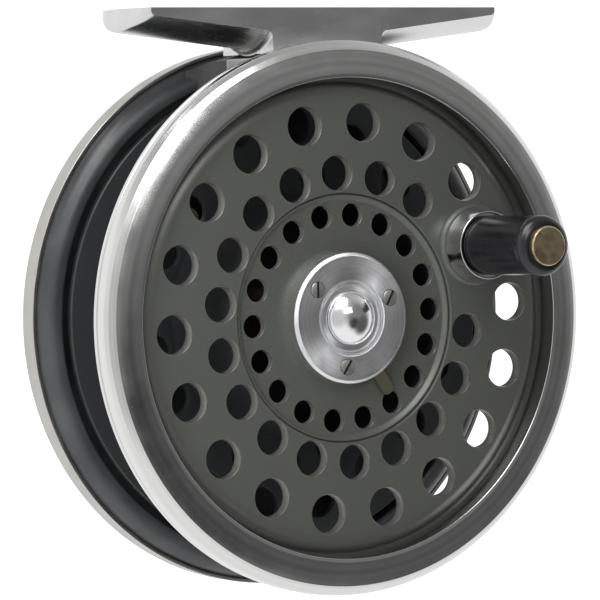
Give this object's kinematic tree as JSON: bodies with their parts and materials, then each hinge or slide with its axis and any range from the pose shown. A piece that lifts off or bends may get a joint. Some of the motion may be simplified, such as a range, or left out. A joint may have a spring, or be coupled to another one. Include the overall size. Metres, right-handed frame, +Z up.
{
  "type": "fly reel",
  "caption": "Fly fishing reel: perforated spool with a polished rim and a knob, turning on a fixed spindle in a half-cage frame with a foot and a click check.",
  "frame": {"origin": "middle of the foot's flat seat, where the foot meets the rod", "axes": "+Z up through the seat, away from the spool; the spool's axis runs along Y with the handle on the -Y side; +X right as seen from the handle side"},
  "size_m": [0.092, 0.0537, 0.0975],
  "materials": {
    "satin_enamel": "satin dark olive grey metallic enamel",
    "black_enamel": "semi gloss black enamel",
    "polished_aluminium": "polished with fine turning marks",
    "satin_aluminium": "satin, long grain",
    "bright_chrome": "mirror bright",
    "bronze": "machined bronze",
    "brass": "machined brass",
    "steel": "machined steel",
    "spring_steel": "blued spring steel",
    "black_knob": "gloss black"
  },
  "bodies": {
    "frame": {"reel_frame": "black_enamel", "reel_foot": "satin_aluminium", "foot_screws": "steel", "spindle": "steel", "spindle_screw": "steel", "pawl_posts": "steel", "spring_posts": "brass", "check_spring_left": "spring_steel", "check_spring_right": "spring_steel"},
    "spool": {"spool_front_plate": "satin_enamel", "spool_rim": "polished_aluminium", "spool_drum": "satin_enamel", "spool_rear_plate": "satin_enamel", "spindle_bush": "bronze", "ratchet_gear": "brass", "gear_screws": "steel", "hub_cap": "polished_aluminium", "cap_screws": "steel", "dome_cap": "bright_chrome", "latch_spring": "spring_steel", "handle_collar": "polished_aluminium", "handle_washer": "steel", "handle_spindle": "brass"},
    "latch": {"spool_latch": "brass"},
    "handle": {"handle_knob": "black_knob"},
    "pawl_left": {"check_pawl_left": "brass"},
    "pawl_right": {"check_pawl_right": "brass"},
    "regulator": {"regulator_shaft": "steel", "regulator_knob": "polished_aluminium"}
  },
  "joints": [
    {"name": "spool_spin", "type": "hinge", "parent": "frame", "child": "spool", "pos_m": [0, 0, -0.0515], "axis": [0, 1, 0], "continuous": true},
    {"name": "handle_spin", "type": "hinge", "parent": "spool", "child": "handle", "pos_m": [0.02573, 0, -0.0402], "axis": [0, 1, 0], "continuous": true},
    {"name": "latch_press", "type": "slide", "parent": "spool", "child": "latch", "axis": [-0.5446, 0, 0.8387], "range_m": [0, 0.0012], "stiffness_N_per_m": 1200, "springref_m": -0.0006, "deforming": ["latch_spring"]},
    {"name": "regulator_turn", "type": "hinge", "parent": "frame", "child": "regulator", "pos_m": [0, 0, -0.0335], "axis": [0, 1, 0], "range_deg": [0, 180]},
    {"name": "pawl_left_lift", "type": "hinge", "parent": "frame", "child": "pawl_left", "pos_m": [-0.0127, 0, -0.0383], "axis": [0, 1, 0], "range_deg": [0, 12], "deforming": ["check_spring_left"]},
    {"name": "pawl_right_lift", "type": "hinge", "parent": "frame", "child": "pawl_right", "pos_m": [0.0127, 0, -0.0383], "axis": [0, -1, 0], "range_deg": [0, 12], "deforming": ["check_spring_right"]}
  ],
  "couplings": [
    {"joint": "pawl_left_lift", "follows": "regulator_turn", "ratio": 0.066667},
    {"joint": "pawl_right_lift", "follows": "regulator_turn", "ratio": 0.066667}
  ]
}
